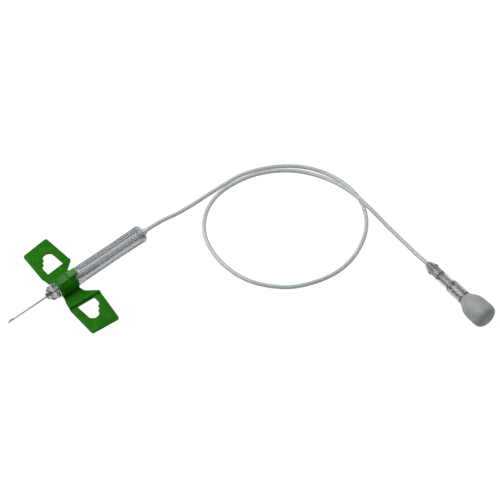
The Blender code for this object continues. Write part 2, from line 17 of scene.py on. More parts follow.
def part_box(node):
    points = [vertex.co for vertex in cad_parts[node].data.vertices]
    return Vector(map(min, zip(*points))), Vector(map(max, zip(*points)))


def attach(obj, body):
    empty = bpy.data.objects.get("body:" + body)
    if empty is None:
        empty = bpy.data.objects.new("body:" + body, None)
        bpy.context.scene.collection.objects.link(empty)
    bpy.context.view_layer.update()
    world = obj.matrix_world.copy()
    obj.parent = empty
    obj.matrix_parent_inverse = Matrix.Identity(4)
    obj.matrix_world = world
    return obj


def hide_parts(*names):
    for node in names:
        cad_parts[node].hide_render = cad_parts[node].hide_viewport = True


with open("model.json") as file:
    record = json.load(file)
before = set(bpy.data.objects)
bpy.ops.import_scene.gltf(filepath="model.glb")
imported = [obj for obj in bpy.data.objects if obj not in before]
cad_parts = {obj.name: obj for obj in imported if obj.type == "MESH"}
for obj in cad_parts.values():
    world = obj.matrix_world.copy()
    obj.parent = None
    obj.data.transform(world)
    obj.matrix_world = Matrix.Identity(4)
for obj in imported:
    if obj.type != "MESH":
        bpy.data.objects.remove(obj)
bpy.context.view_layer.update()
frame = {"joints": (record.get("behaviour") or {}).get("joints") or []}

MM = 0.001

# Camera, at the photograph's angle
VIEW_AZIMUTH = -40.03
VIEW_ELEVATION = 55.91
VIEW_DISTANCE = 600.0
VIEW_TARGET = (62.9, -33.1, 0.0)
LENS = 104.95

# Light: one soft lamp, a pale room and a floor that glows to the eye
LAMP_PLACE = (-150.0, 300.0, 500.0)
LAMP_AIM = (20.0, -30.0, 0.0)
LAMP_SIZE = 600.0
LAMP_POWER = 3.3
ROOM_STRENGTH = 0.62
ROOM_BRIGHT_SIDE = (0.45, -0.05, 0.89)
FLOOR_GLOW = 1.125
FLOOR_GLOW_SHARE = 0.88
FLOOR_DROP = 0.02
FLOOR_HALF_WIDTH = 4000.0

# Gaps, and the number of sides of turned pieces
GLUE_GAP = 0.1
SLIDE_GAP = 0.15
SEAT_GAP = 0.3
SIDES = 96
SIDES_SMALL = 64
SIDES_RIBBED = 144
SIDES_TUBE = 20

# Guard: a clear barrel that slides forward over the needle
barrel_low, barrel_high = (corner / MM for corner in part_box("guard_barrel"))
NOSE_X = barrel_low.x
AXIS_Z = (barrel_low.z + barrel_high.z) / 2
GUARD_END = barrel_high.x - NOSE_X
GUARD_BORE_R = 2.6
COLLAR_R = 3.7
GRIP_R = 3.6
REAR_R = (barrel_high.z - barrel_low.z) / 2

# Clip and wings
CLIP_FRONT = 5.2
CLIP_REAR = 13.4
CLIP_R = 4.1
CLIP_BORE_R = 3.3
WING_TIP_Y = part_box("wing_clip")[1].y / MM
WING_FRONT = 4.3
WING_REAR_IN = 18.8
CREASE_FRONT_Y = 9.05
CREASE_REAR_Y = 10.25
CREASE_WIDTH = 0.45
FLAP_TOP = 1.65
FLAP_THICKNESS = 0.95
PAD_THICKNESS = 0.9

# Needle
NEEDLE_R = 0.41
NEEDLE_BORE_R = 0.255
NEEDLE_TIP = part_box("cannula")[0].x / MM - NOSE_X
NEEDLE_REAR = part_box("cannula")[1].x / MM - NOSE_X

# Tubing
TUBE_R = 0.85
TUBE_BORE_R = 0.5
TUBE_START = 21.5
TUBE_STEP = 1.5
TUBE_ROUTE = [
    (38.0, 0.0, 3.7), (44.0, 0.0, 2.9), (51.0, -0.2, 1.4), (58.5, -0.4, TUBE_R),
    (67.5, -0.6, TUBE_R), (76.0, -0.9, TUBE_R), (84.0, -1.5, TUBE_R), (91.6, -4.0, TUBE_R),
    (98.9, -7.9, TUBE_R), (105.0, -12.8, TUBE_R), (110.0, -19.0, TUBE_R), (113.5, -26.5, TUBE_R),
    (115.1, -34.8, TUBE_R), (114.6, -42.8, TUBE_R), (111.6, -50.0, TUBE_R),
    (106.7, -56.0, TUBE_R), (99.6, -60.8, TUBE_R), (91.0, -63.9, TUBE_R), (81.6, -64.5, TUBE_R),
    (72.0, -62.2, TUBE_R), (63.6, -58.0, TUBE_R), (57.2, -51.9, TUBE_R), (52.4, -44.4, TUBE_R),
    (50.0, -35.8, TUBE_R), (49.9, -26.8, TUBE_R), (52.0, -18.0, TUBE_R), (56.5, -11.0, TUBE_R),
    (63.0, -5.9, TUBE_R), (71.0, -3.2, TUBE_R), (79.8, -3.2, TUBE_R), (88.6, -5.1, TUBE_R),
    (96.6, -9.1, TUBE_R), (103.2, -14.5, TUBE_R), (108.2, -21.4, 1.05), (111.6, -30.0, 1.9),
    (113.3, -40.0, 2.65), (113.8, -50.0, 2.3), (113.8, -60.0, 1.2), (113.6, -70.0, 0.95),
    (113.2, -79.5, 1.35),
]

# Connector: where the tubing enters it, and how it lies
LUER_ENTRY = (112.9, -86.0, 2.2049)
LUER_END = 22.3
LUER_TUBE_SEAT = 4.0
LUER_WAIST_R = 1.5


def linear(code):
    """An sRGB hex colour as linear light."""
    parts = [int(code[i:i + 2], 16) / 255 for i in (0, 2, 4)]
    return (*[c / 12.92 if c <= 0.04045 else ((c + 0.055) / 1.055) ** 2.4 for c in parts], 1.0)


def add_node(tree, kind, links=None, **settings):
    """Add a node. Links go from its input names to the sockets that feed them.

    A setting is an input's value, with _ for each space in its name, or else a property.
    """
    node = tree.nodes.new(kind)
    for key, value in settings.items():
        name = key.replace("_", " ")
        if name in node.inputs.keys():
            node.inputs[name].default_value = value
        else:
            setattr(node, key, value)
    for key, source in (links or {}).items():
        tree.links.new(source, node.inputs[key])
    return node


def new_material(name, **settings):
    """A material with a Principled shader and the settings of that shader's own sockets."""
    mat = bpy.data.materials.new(name)
    mat.use_nodes = True
    shader = mat.node_tree.nodes["Principled BSDF"]
    for key, value in settings.items():
        shader.inputs[key.replace("_", " ")].default_value = value
    return mat, mat.node_tree, shader


def make_camera():
    """The photograph's view: azimuth 0 looks along +Y, and the elevation is above the table."""
    azimuth, elevation = radians(VIEW_AZIMUTH), radians(VIEW_ELEVATION)
    forward = Vector((-sin(azimuth) * cos(elevation), cos(azimuth) * cos(elevation), -sin(elevation)))
    data = bpy.data.cameras.new("camera")
    data.sensor_width = 36.0
    data.lens = LENS
    data.clip_start = 0.01
    camera = bpy.data.objects.new("camera", data)
    camera.location = (Vector(VIEW_TARGET) - forward * VIEW_DISTANCE) * MM
    camera.rotation_euler = forward.to_track_quat("-Z", "Y").to_euler()
    bpy.context.scene.collection.objects.link(camera)
    bpy.context.scene.camera = camera


def add_piece(name, bm, mat, matrix=None, sharp_deg=40.0):
    """Turn a bmesh in millimetres into a piece in metres."""
    bmesh.ops.recalc_face_normals(bm, faces=bm.faces[:])
    bm.transform(Matrix.Diagonal((MM, MM, MM, 1)) @ (matrix or Matrix.Identity(4)))
    mesh = bpy.data.meshes.new(name)
    bm.to_mesh(mesh)
    bm.free()
    mesh.shade_smooth()
    mesh.set_sharp_from_angle(angle=radians(sharp_deg))
    obj = bpy.data.objects.new(name, mesh)
    bpy.context.scene.collection.objects.link(obj)
    if mat:
        mesh.materials.append(mat)
    return obj


def on_axis():
    """From stations to the row frame."""
    return Matrix.Translation((NOSE_X, 0, AXIS_Z))


def on_connector():
    """From the connector's own places to the row frame, along the cap's pull."""
    pull = next(joint for joint in frame["joints"] if joint["name"] == "cap_pull")
    along = Vector(pull["axis"]).normalized()
    side = Vector((0, 0, 1)).cross(along).normalized()
    up = along.cross(side)
    turn = Matrix((along, side, up)).transposed().to_4x4()
    return Matrix.Translation(LUER_ENTRY) @ turn


def turned(profile, sides=SIDES, radius_at=None):
    """Revolve a closed profile of (place, radius) about X. A radius of 0 is a point on the axis."""
    bm = bmesh.new()
    rings = []
    for index, (place, radius) in enumerate(profile):
        if radius == 0:
            rings.append([bm.verts.new((place, 0, 0))])
            continue
        ring = []
        for k in range(sides):
            angle = 2 * pi * k / sides
            r = radius_at(index, radius, angle) if radius_at else radius
            ring.append(bm.verts.new((place, r * sin(angle), r * cos(angle))))
        rings.append(ring)
    for a, b in zip(rings, rings[1:] + rings[:1]):
        if len(a) == 1 and len(b) == 1:
            continue
        for k in range(sides):
            n = (k + 1) % sides
            corners = [a[k % len(a)], b[k % len(b)], b[n % len(b)], a[n % len(a)]]
            bm.faces.new(list(dict.fromkeys(corners)))
    return bm


def rounded(points, radii, steps=4):
    """Round each corner of a closed outline with an arc of its own radius."""
    result = []
    count = len(points)
    for i, radius in enumerate(radii):
        corner = Vector(points[i][:2])
        before = (Vector(points[i - 1][:2]) - corner).normalized()
        after = (Vector(points[(i + 1) % count][:2]) - corner).normalized()
        half = before.angle(after, 0) / 2
        if radius == 0 or half > pi / 2 - 0.01:
            result.append(tuple(corner))
            continue
        middle = corner + (before + after).normalized() * radius / sin(half)
        start = corner + before * radius / tan(half) - middle
        end = corner + after * radius / tan(half) - middle
        turn = atan2(start.x * end.y - start.y * end.x, start.dot(end))
        for k in range(steps + 1):
            result.append(tuple(middle + Matrix.Rotation(turn * k / steps, 2) @ start))
    return result


def moulded(points, fillet=0.12, steps=2, ring_step=0.8):
    """A turned profile with small fillets and close rings. A point's own third value is its fillet."""
    radii = [point[2] if len(point) > 2 else fillet for point in points]
    corners = rounded(points, radii, steps)
    profile = []
    for a, b in zip(corners, corners[1:] + corners[:1]):
        start, end = Vector(a), Vector(b)
        pieces = 1 + int((end - start).length / ring_step)
        profile += [tuple(start.lerp(end, k / pieces)) for k in range(pieces)]
    return profile


def prism(outline, low, high, axis="Z"):
    """Extrude an outline: (x, y) points along Z, or (y, z) points along X."""
    bm = bmesh.new()
    if axis == "Z":
        verts = [bm.verts.new((x, y, low)) for x, y in outline]
        step = Vector((0, 0, high - low))
    else:
        verts = [bm.verts.new((low, y, z)) for y, z in outline]
        step = Vector((high - low, 0, 0))
    face = bm.faces.new(verts)
    grown = bmesh.ops.extrude_face_region(bm, geom=[face])
    moved = [v for v in grown["geom"] if isinstance(v, bmesh.types.BMVert)]
    bmesh.ops.translate(bm, vec=step, verts=moved)
    return bm


def block(low, high):
    """A box between two corners."""
    (x0, y0, z0), (x1, y1, z1) = low, high
    return prism([(x0, y0), (x1, y0), (x1, y1), (x0, y1)], z0, z1)


def smooth_curve(points, step):
    """Points about one step apart on a smooth curve through the given ones."""
    knots = [Vector(p) for p in points]
    knots = [2 * knots[0] - knots[1]] + knots + [2 * knots[-1] - knots[-2]]
    result = [knots[1]]
    for a, b, c, d in zip(knots, knots[1:], knots[2:], knots[3:]):
        pieces = max(1, round((c - b).length / step))
        for k in range(1, pieces + 1):
            t = k / pieces
            result.append(0.5 * (2 * b + (c - a) * t + (2 * a - 5 * b + 4 * c - d) * t ** 2
                                 + (3 * b - a - 3 * c + d) * t ** 3))
    return result


def combine(obj, tool, operation):
    """Add, cut or keep with a tool, and throw the tool away."""
    mod = obj.modifiers.new("combine", "BOOLEAN")
    mod.operation = operation
    mod.solver = "EXACT"
    mod.object = tool
    settle(obj)
    bpy.data.objects.remove(tool, do_unlink=True)


def settle(obj):
    """Turn an object's modifiers into its mesh."""
    bpy.context.view_layer.update()
    graph = bpy.context.evaluated_depsgraph_get()
    mesh = bpy.data.meshes.new_from_object(obj.evaluated_get(graph))
    old = obj.data
    obj.modifiers.clear()
    obj.data = mesh
    bpy.data.meshes.remove(old)


def steel():
    """Drawn and polished stainless tube: bright, with faint lines along it."""
    mat, tree, shader = new_material("polished_stainless_tube", Base_Color=linear("a4a6a8"),
                                     Metallic=1.0)
    place = add_node(tree, "ShaderNodeTexCoord").outputs["Object"]
    stretch = add_node(tree, "ShaderNodeMapping", {"Vector": place}, Scale=(60, 9000, 9000))
    lines = add_node(tree, "ShaderNodeTexNoise", {"Vector": stretch.outputs["Vector"]},
                     Scale=1.0, Detail=3.0)
    rough = add_node(tree, "ShaderNodeMapRange", {"Value": lines.outputs["Fac"]},
                     To_Min=0.16, To_Max=0.34)
    tree.links.new(rough.outputs["Result"], shader.inputs["Roughness"])
    return mat


def ground_steel():
    """The needle's ground point: satin grey, where the drawn tube is bright."""
    mat, tree, shader = new_material("ground_stainless_point", Base_Color=linear("707274"),
                                     Metallic=1.0)
    place = add_node(tree, "ShaderNodeTexCoord").outputs["Object"]
    grit = add_node(tree, "ShaderNodeTexNoise", {"Vector": place}, Scale=8000.0, Detail=2.0)
    rough = add_node(tree, "ShaderNodeMapRange", {"Value": grit.outputs["Fac"]},
                     To_Min=0.35, To_Max=0.55)
    tree.links.new(rough.outputs["Result"], shader.inputs["Roughness"])
    return mat


def clear_plastic(name, tint, ior, roughness, clarity, depth_tint, absorbs):
    """Clear plastic: glossy, greyer where it is thick, and milky by what its clarity lacks to 1.

    The depth tint is what thick plastic turns to, and absorbs says how fast, per metre.
    """
    mat, tree, shader = new_material(name, Base_Color=linear(tint), IOR=ior,
                                     Transmission_Weight=clarity)
    place = add_node(tree, "ShaderNodeTexCoord").outputs["Object"]
    haze = add_node(tree, "ShaderNodeTexNoise", {"Vector": place}, Scale=700.0, Detail=3.0)
    rough = add_node(tree, "ShaderNodeMapRange", {"Value": haze.outputs["Fac"]},
                     To_Min=roughness * 0.5, To_Max=roughness * 1.5)
    tree.links.new(rough.outputs["Result"], shader.inputs["Roughness"])
    inside = add_node(tree, "ShaderNodeVolumeAbsorption", Color=linear(depth_tint), Density=absorbs)
    rays = add_node(tree, "ShaderNodeLightPath")
    lets_by = add_node(tree, "ShaderNodeBsdfTransparent", Color=linear("fafafa"))
    mix = add_node(tree, "ShaderNodeMixShader", {0: rays.outputs["Is Shadow Ray"],
                                                 1: shader.outputs[0], 2: lets_by.outputs[0]})
    out = tree.nodes["Material Output"]
    tree.links.new(inside.outputs["Volume"], out.inputs["Volume"])
    tree.links.new(mix.outputs[0], out.inputs["Surface"])
    return mat


def green_vinyl():
    """Soft moulded vinyl: green with a satin skin and slight mottling, lighter on the pad's top:
    partly its own matt skin, partly a painted highlight.
    """
    mat, tree, shader = new_material(
        "soft_green_vinyl", Roughness=0.5, Specular_IOR_Level=0.08, Subsurface_Weight=0.08,
        Subsurface_Radius=(0.2, 1.0, 0.15), Subsurface_Scale=0.6 * MM)
    place = add_node(tree, "ShaderNodeTexCoord").outputs["Object"]
    cloud = add_node(tree, "ShaderNodeTexNoise", {"Vector": place}, Scale=320.0, Detail=4.0)
    shades = add_node(tree, "ShaderNodeValToRGB", {"Fac": cloud.outputs["Fac"]})
    for stop, (place_on_ramp, code) in zip(shades.color_ramp.elements,
                                           ((0.35, "186d03"), (0.7, "287e03"))):
        stop.position, stop.color = place_on_ramp, linear(code)
    parts = add_node(tree, "ShaderNodeSeparateXYZ", {"Vector": place})
    # The pad's top, from 7.5 mm up, is mixed towards a pale green: partly its own matt skin, partly a
    # painted highlight where it catches the light.
    height = add_node(tree, "ShaderNodeMapRange", {"Value": parts.outputs["Z"]},
                      From_Min=7.5 * MM, From_Max=8.6 * MM, To_Max=0.8)
    matt_top_and_painted_highlight = add_node(tree, "ShaderNodeMix", {0: height.outputs["Result"],
                                             6: shades.outputs["Color"]}, data_type="RGBA")
    matt_top_and_painted_highlight.inputs[7].default_value = linear("5c9452")
    tree.links.new(matt_top_and_painted_highlight.outputs[2], shader.inputs["Base Color"])
    grain = add_node(tree, "ShaderNodeTexNoise", {"Vector": place}, Scale=4000.0, Detail=2.0)
    bump = add_node(tree, "ShaderNodeBump", {"Height": grain.outputs["Fac"]},
                    Strength=0.15, Distance=0.05 * MM)
    tree.links.new(bump.outputs["Normal"], shader.inputs["Normal"])
    return mat


def frosted():
    """Frosted polyethylene: milky grey, light passing softly inside, and a fine blotchy matt skin."""
    mat, tree, shader = new_material(
        "frosted_polyethylene", Roughness=0.5, IOR=1.51, Subsurface_Weight=0.3,
        Subsurface_Radius=(1.0, 1.0, 1.0), Subsurface_Scale=1.5 * MM)
    place = add_node(tree, "ShaderNodeTexCoord").outputs["Object"]
    blotch = add_node(tree, "ShaderNodeTexNoise", {"Vector": place}, Scale=700.0, Detail=3.0)
    shades = add_node(tree, "ShaderNodeValToRGB", {"Fac": blotch.outputs["Fac"]})
    for stop, (place_on_ramp, code) in zip(shades.color_ramp.elements,
                                           ((0.3, "a6aca8"), (0.7, "b8bdba"))):
        stop.position, stop.color = place_on_ramp, linear(code)
    tree.links.new(shades.outputs["Color"], shader.inputs["Base Color"])
    grain = add_node(tree, "ShaderNodeTexNoise", {"Vector": place}, Scale=2500.0, Detail=3.0)
    bump = add_node(tree, "ShaderNodeBump", {"Height": grain.outputs["Fac"]},
                    Strength=0.2, Distance=0.05 * MM)
    tree.links.new(bump.outputs["Normal"], shader.inputs["Normal"])
    return mat


def make_cannula(mat, point_mat):
    """The needle, ground to a slope with two smaller facets at its point."""
    bm = turned([(NEEDLE_TIP, NEEDLE_R), (NEEDLE_REAR, NEEDLE_R), (NEEDLE_REAR, NEEDLE_BORE_R),
                 (NEEDLE_TIP, NEEDLE_BORE_R)], SIDES_SMALL)
    bevel_slope = 0.98 / tan(radians(15))
    lancet_slope, lancet_reach, lancet_turn = 1 / tan(radians(20)), 0.86 * NEEDLE_R, radians(38)
    for v in bm.verts:
        if v.co.x > NEEDLE_TIP + 1:
            continue
        y, z = v.co.y, v.co.z
        facets = [(z * cos(turn) + y * sin(turn) + lancet_reach) * lancet_slope
                  for turn in (lancet_turn, -lancet_turn)]
        v.co.x = NEEDLE_TIP + max((z + NEEDLE_R) * bevel_slope, *facets)
    piece = add_piece("cannula_tube", bm, mat, on_axis(), 30)
    piece.data.materials.append(point_mat)
    for face in piece.data.polygons:
        face.material_index = int(face.normal.x < -0.1)
    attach(piece, "needle")
    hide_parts("cannula")


def make_hub(mat):
    """The needle's hub inside the guard, with two guide flanges and a latch finger on top."""
    flange_r = GUARD_BORE_R - SLIDE_GAP
    hole = NEEDLE_R + GLUE_GAP
    socket = TUBE_R + GLUE_GAP
    front, rear = 5.2, 25.0
    boss, waist, stem = 1.3, 1.5, 1.35
    first, second, width = 6.4, 13.2, 1.2
    tube_seat, needle_seat = TUBE_START - GLUE_GAP, NEEDLE_REAR + GLUE_GAP
    points = [
        (front, hole), (front, boss), (first, boss), (first, flange_r), (first + width, flange_r),
        (first + width, waist), (second, waist), (second, flange_r), (second + width, flange_r),
        (second + width, stem), (rear, stem), (rear, socket), (tube_seat, socket),
        (tube_seat, NEEDLE_BORE_R), (needle_seat, NEEDLE_BORE_R), (needle_seat, hole),
    ]
    fillets = [0.1, 0.15, 0.15, 0.12, 0.12, 0.15, 0.15, 0.12, 0.12, 0.15, 0.12, 0.08, 0.1, 0, 0, 0.05]
    body = turned(rounded(points, fillets, 2), SIDES_SMALL)
    hub = add_piece("hub_moulding", body, mat, on_axis())
    latch_length, latch_width, latch_thickness, tooth_height, finger_gap = 5.0, 1.4, 0.5, 0.35, 0.05
    tooth_start, tooth_end, tooth_foot = 0.4, 0.9, 1.3
    top = flange_r - finger_gap
    back = top - tooth_height
    base = back - latch_thickness
    tip, root = second - latch_length, second + width / 2
    side = [(root, base), (root, back), (tip + tooth_foot, back), (tip + tooth_end, top),
            (tip + tooth_start, top), (tip, base)]
    bm = bmesh.new()
    face = bm.faces.new([bm.verts.new((x, -latch_width / 2, z)) for x, z in side])
    grown = bmesh.ops.extrude_face_region(bm, geom=[face])
    moved = [v for v in grown["geom"] if isinstance(v, bmesh.types.BMVert)]
    bmesh.ops.translate(bm, vec=(0, latch_width, 0), verts=moved)
    combine(hub, add_piece("latch_finger", bm, None, on_axis()), "UNION")
    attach(hub, "needle")
    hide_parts("needle_hub")


def make_barrel(mat, nose_mat, crest_shade_mat):
    """The guard: a ribbed nose, a plain neck under the clip, a collar and a fluted grip."""
    bore, neck, ring = GUARD_BORE_R, 3.1, 3.3
    nose_face, nose_r, cone, nose_length = 1.0, 3.0, 2.0, 3.4
    groove_r, groove_end = nose_r - 0.2, nose_length + 0.6
    nose_ribs, nose_rib_height = 6, 0.08
    ring_end = CLIP_FRONT - SEAT_GAP
    neck_end = CLIP_REAR + SEAT_GAP
    grip_start, grip_end, runout = neck_end + 2.6, GUARD_END - 0.7, 0.6
    waist = 34.0
    ribs, rib_height, rib_half, crest_half = 8, 0.22, 0.25, 0.2
    hole = NEEDLE_R + SEAT_GAP
    points = [
        (0.0, nose_face, 0.12), (cone, nose_r, 0.9), (nose_length, nose_r, 0.12),
        (nose_length, groove_r, 0.1), (groove_end, groove_r, 0.1), (groove_end, ring, 0.1),
        (ring_end, ring, 0.1), (ring_end, neck, 0.08), (neck_end, neck, 0.08),
        (neck_end, COLLAR_R, 0.15), (grip_start, COLLAR_R, 0), (grip_start + runout, COLLAR_R, 0),
        (waist, GRIP_R, 0), (grip_end - runout, REAR_R, 0), (grip_end, REAR_R, 0),
        (GUARD_END, REAR_R, 0.2), (GUARD_END, bore, 0.1), (ring_end, bore, 0.2),
        (ring_end - 1.6, hole + 0.2, 0.2), (ring_end - 1.8, hole, 0.1), (0.4, hole, 0.1),
        (0.0, hole + 0.15, 0.05),
    ]
    profile = moulded(points)

    def radius_at(index, radius, angle):
        place = profile[index][0]
        if grip_start + 0.1 < place < grip_end - 0.1 and radius > bore + 0.2:
            away = radius * 2 / ribs * sin(ribs * angle / 2)
            return radius - rib_height * (1 - exp(-(away / rib_half) ** 2))
        if 0.4 < place < nose_length - 0.2 and radius > 1.2:
            rib = max(0.0, cos(nose_ribs * angle)) ** 2 - 0.5
            return radius + nose_rib_height * rib * min(1.0, place / cone)
        return radius

    piece = add_piece("barrel_shell", turned(profile, SIDES_RIBBED, radius_at), mat, on_axis())
    piece.data.materials.append(nose_mat)
    piece.data.materials.append(crest_shade_mat)
    # Faces of the nose take the nose's material. The ridge tops of the grip's ribs take the dark grey
    # one, which paints the shade along the ribs.
    for face in piece.data.polygons:
        middle = face.center / MM - Vector((NOSE_X, 0, AXIS_Z))
        off_rib = abs(middle.yz.length * 2 / ribs * sin(ribs * atan2(middle.y, middle.z) / 2))
        on_grip = grip_start < middle.x < grip_end and middle.yz.length > bore + 0.3
        if middle.x < nose_length - 0.1:
            face.material_index = 1
        elif on_grip and off_rib < crest_half:
            face.material_index = 2
    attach(piece, "guard")
    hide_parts("guard_barrel")


def make_end_cap(mat):
    """The plug in the guard's rear, with a flange and the nozzle that the tubing runs through."""
    plug = GUARD_BORE_R - GLUE_GAP
    flange, flange_r, nozzle_root, nozzle_tip = 0.5, 3.5, 1.6, 1.35
    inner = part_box("barrel_end_cap")[0].x / MM - NOSE_X
    nozzle_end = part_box("barrel_end_cap")[1].x / MM - NOSE_X
    seat, root = GUARD_END + GLUE_GAP, GUARD_END + flange
    channel = TUBE_R + 0.2
    points = [
        (inner, channel, 0.1), (inner, plug, 0.2), (seat, plug, 0.05), (seat, flange_r, 0.1),
        (root, flange_r, 0.15), (root, nozzle_root, 0.3), (nozzle_end, nozzle_tip, 0.2),
        (nozzle_end, channel, 0.08),
    ]
    piece = add_piece("end_cap_moulding", turned(moulded(points)), mat, on_axis())
    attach(piece, "guard")
    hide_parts("barrel_end_cap")


def wing_outline():
    """The outline of clip and wings from above, mirrored about the axis."""
    rake, sweep, rear_out, shoulder = 0.5, 1.3, 17.2, 9.8
    root_in, root_front, root_rear = 3.6, 6.3, 6.0
    half = [
        (CLIP_FRONT + rake, root_in), (WING_FRONT + rake, root_front), (WING_FRONT, shoulder),
        (WING_FRONT + rake, WING_TIP_Y - sweep), (rear_out, WING_TIP_Y), (WING_REAR_IN, shoulder),
        (CLIP_REAR + rake, root_rear), (CLIP_REAR, root_in),
    ]
    radii = [0, 3.0, 3.0, 0.9, 0.9, 0.9, 2.5, 0]
    mirrored = [(x, -y) for x, y in reversed(half)]
    return rounded(half + mirrored, radii + radii[::-1], 8)


def window_outline(side):
    """A wing's window with two small teeth: the other wing's is turned by half a turn."""
    front, rear, outer = 7.4, 15.5, 19.0
    tooth_r, tooth_places, tooth_steps = 0.38, (0.66, 0.3), 8
    slant_low = Vector((front, outer - 5.2))
    slant_high = Vector((front + 3.6, outer - 0.3))
    along = (slant_high - slant_low).normalized()
    across = Vector((along.y, -along.x))
    inner = (9.95, 10.55) if side > 0 else (10.55, 9.95)
    corners = [(front, inner[0]), (rear, inner[1]), (rear - 0.8, outer - 1.2), (rear - 2.6, outer),
               tuple(slant_high), tuple(slant_low)]
    steps = 8
    arcs = rounded(corners, [0.6, 0.8, 1.4, 1.2, 1.0, 1.2], steps)
    outline = arcs[:-steps - 1]
    for share in tooth_places:
        middle = slant_low + (slant_high - slant_low) * share
        for k in range(tooth_steps + 1):
            angle = pi * k / tooth_steps
            outline.append(tuple(middle + (along * cos(angle) + across * sin(angle)) * tooth_r))
    outline += arcs[-steps - 1:]
    if side > 0:
        return outline
    return [(front + rear - x, -y) for x, y in outline]


def wing_bar(side):
    """A bar with one wing's flap, crease and pad, whose crease runs outward towards the rear."""
    crease, foot = CREASE_FRONT_Y, CREASE_FRONT_Y + CREASE_WIDTH
    flap_low = FLAP_TOP - FLAP_THICKNESS
    root, far, lip = CLIP_BORE_R - 0.5, WING_TIP_Y + 1, 0.15
    points = [
        (root, flap_low), (crease - CREASE_WIDTH, flap_low), (foot - CREASE_WIDTH / 2, 0), (far, 0),
        (far, PAD_THICKNESS), (foot, PAD_THICKNESS), (crease, FLAP_TOP + lip),
        (crease - 2 * lip, FLAP_TOP), (root, FLAP_TOP),
    ]
    smooth = rounded(points, [0, 0.4, 0.3, 0, 0, 0.12, 0.1, 0.15, 0], 4)
    bm = prism([(side * y, z - AXIS_Z) for y, z in smooth], WING_FRONT - 1, WING_REAR_IN + 1, "X")
    rear = [v for v in bm.verts
            if v.co.x > WING_REAR_IN and abs(abs(v.co.y) - crease) < 2 * CREASE_WIDTH]
    bmesh.ops.translate(bm, vec=(0, side * (CREASE_REAR_Y - crease), 0), verts=rear)
    return bm


def make_wing_clip(mat):
    """The green clip, its two wings and the pad on top, in one soft moulding."""
    clip = add_piece("wing_moulding", wing_bar(1), mat, on_axis())
    combine(clip, add_piece("other_wing", wing_bar(-1), None, on_axis()), "UNION")
    outline = prism(wing_outline(), -2 * AXIS_Z, 0)
    combine(clip, add_piece("outline", outline, None, on_axis()), "INTERSECT")
    lip_r, chamfer, lip = CLIP_R - 0.15, 0.7, 2.2
    saddle = [
        (CLIP_FRONT, 0, 0), (CLIP_FRONT, CLIP_BORE_R + 0.15, 0.1), (CLIP_FRONT + chamfer, lip_r, 0.25),
        (CLIP_FRONT + lip, lip_r, 0.1), (CLIP_FRONT + lip + 0.15, CLIP_R, 0.1),
        (CLIP_REAR, CLIP_R, 0.2), (CLIP_REAR, 0, 0),
    ]
    combine(clip, add_piece("saddle", turned(moulded(saddle)), None, on_axis()), "UNION")
    pad_start, pad_length, half, top, edge = CLIP_FRONT + 5.7, 3.9, 1.55, CLIP_R + 0.85, 0.3
    section = [(-half, CLIP_BORE_R), (half, CLIP_BORE_R), (half, top - edge), (half - edge, top),
               (edge - half, top), (-half, top - edge)]
    pad = prism(section, pad_start, pad_start + pad_length, "X")
    combine(clip, add_piece("pad", pad, None, on_axis()), "UNION")
    step_start, step_end, step_height, step_drop = pad_start - 4.4, pad_start - 0.8, 0.4, 0.35
    step = prism([(y, min(z, CLIP_R + step_height)) for y, z in section], step_start, step_end, "X")
    low = [v for v in step.verts if v.co.x < (step_start + step_end) / 2 and v.co.z > CLIP_R]
    bmesh.ops.translate(step, vec=(0, 0, -step_drop), verts=low)
    combine(clip, add_piece("step", step, None, on_axis()), "UNION")
    collar_hole, past = COLLAR_R + SEAT_GAP, 3
    bore = [(CLIP_FRONT - 1, 0), (CLIP_FRONT - 1, CLIP_BORE_R), (CLIP_REAR, CLIP_BORE_R),
            (CLIP_REAR, collar_hole), (CLIP_REAR + past, collar_hole), (CLIP_REAR + past, 0)]
    combine(clip, add_piece("bore", turned(bore), None, on_axis()), "DIFFERENCE")
    mouth_half = 2.8
    mouth_top = 0.1 - (CLIP_BORE_R ** 2 - mouth_half ** 2) ** 0.5
    mouth = block((CLIP_FRONT - 2, -mouth_half, -2 * AXIS_Z), (CLIP_REAR + 2, mouth_half, mouth_top))
    combine(clip, add_piece("mouth", mouth, None, on_axis()), "DIFFERENCE")
    below = block((CLIP_FRONT - 2, -CLIP_R - 1, -2 * AXIS_Z),
                  (CLIP_REAR + 2, CLIP_R + 1, FLAP_TOP - FLAP_THICKNESS - AXIS_Z))
    combine(clip, add_piece("below", below, None, on_axis()), "DIFFERENCE")
    for side in (1, -1):
        window = add_piece("window", prism(window_outline(side), -2 * AXIS_Z, 0), None, on_axis())
        combine(clip, window, "DIFFERENCE")
    weld = clip.modifiers.new("weld", "WELD")
    weld.merge_threshold = 0.01 * MM
    bevel = clip.modifiers.new("soft_edges", "BEVEL")
    bevel.width = 0.12 * MM
    bevel.segments = 2
    bevel.limit_method = "ANGLE"
    bevel.angle_limit = radians(35)
    settle(clip)
    clip.data.shade_smooth()
    clip.data.set_sharp_from_angle(angle=radians(40))
    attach(clip, "guard")
    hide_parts("wing_clip")


def luer_profile():
    """The connector's outside and inside, from the tubing's entry: place, radius and fillet."""
    nose, lug, body, fin, socket = 2.3, 2.55, 2.2, 2.3, 2.75
    mouth, bore_foot, channel = 2.15, 1.925, 0.6
    bore_end = LUER_END - 7.5
    seat = TUBE_R + GLUE_GAP
    return [
        (0.0, 1.25, 0.1), (0.25, 1.4, 0.3), (1.4, nose - 0.35, 0.6), (2.8, nose, 0.4),
        (3.4, lug, 0.15), (3.9, lug, 0.15), (4.1, body, 0.1), (7.8, body, 0.15),
        (8.0, LUER_WAIST_R, 0.1), (8.4, fin, 0), (14.0, fin, 0), (14.3, socket - 0.1, 0.1),
        (14.7, socket, 0.2), (LUER_END, socket, 0.12), (LUER_END, mouth, 0.1),
        (bore_end, bore_foot, 0.2), (bore_end, channel, 0.1), (LUER_TUBE_SEAT, channel, 0.05),
        (LUER_TUBE_SEAT, seat, 0.1), (0.0, seat, 0.08),
    ]


